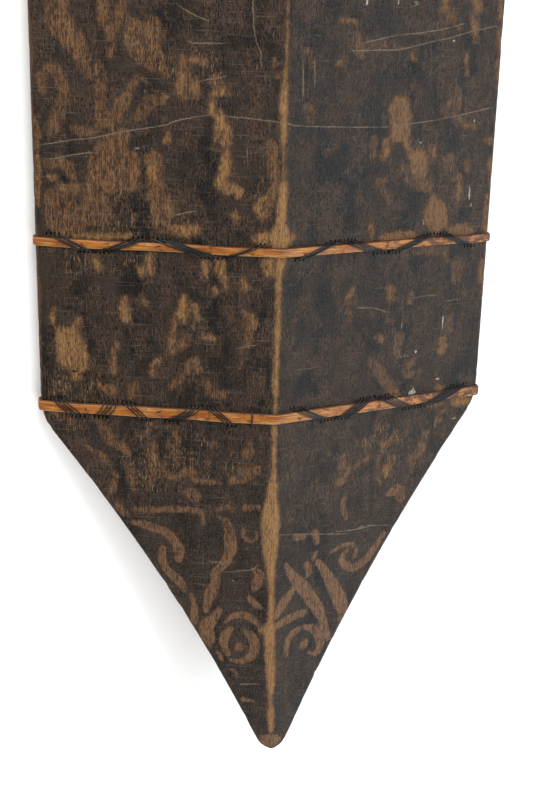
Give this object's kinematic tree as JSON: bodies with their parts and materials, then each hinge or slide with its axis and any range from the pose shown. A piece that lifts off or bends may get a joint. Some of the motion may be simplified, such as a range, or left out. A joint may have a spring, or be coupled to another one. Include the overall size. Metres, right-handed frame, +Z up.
{
  "type": "wooden shield",
  "caption": "Long six-sided wooden shield with a median ridge, painted scrolls, laced cane bands and a grip carved in its hollow back, lying face up.",
  "frame": {"origin": "on the ground under the middle of the shield, which lies on the bands under its side edges", "axes": "+X across the shield, +Y along it towards the upper tip, +Z up out of its ridged front"},
  "size_m": [0.405, 1.241, 0.0753],
  "materials": {
    "painted_wood": "worn dark paint with brown scrolls over pale carved wood",
    "cane": "glossy split cane",
    "dark_strand": "dark smooth strands"
  },
  "bodies": {
    "root": {"board": "painted_wood", "band_lower_outer": "cane", "band_lower_inner": "cane", "band_upper_inner": "cane", "band_upper_outer": "cane", "lacing_lower_outer": "dark_strand", "lacing_lower_inner": "dark_strand", "lacing_upper_inner": "dark_strand", "lacing_upper_outer": "dark_strand"}
  },
  "joints": []
}
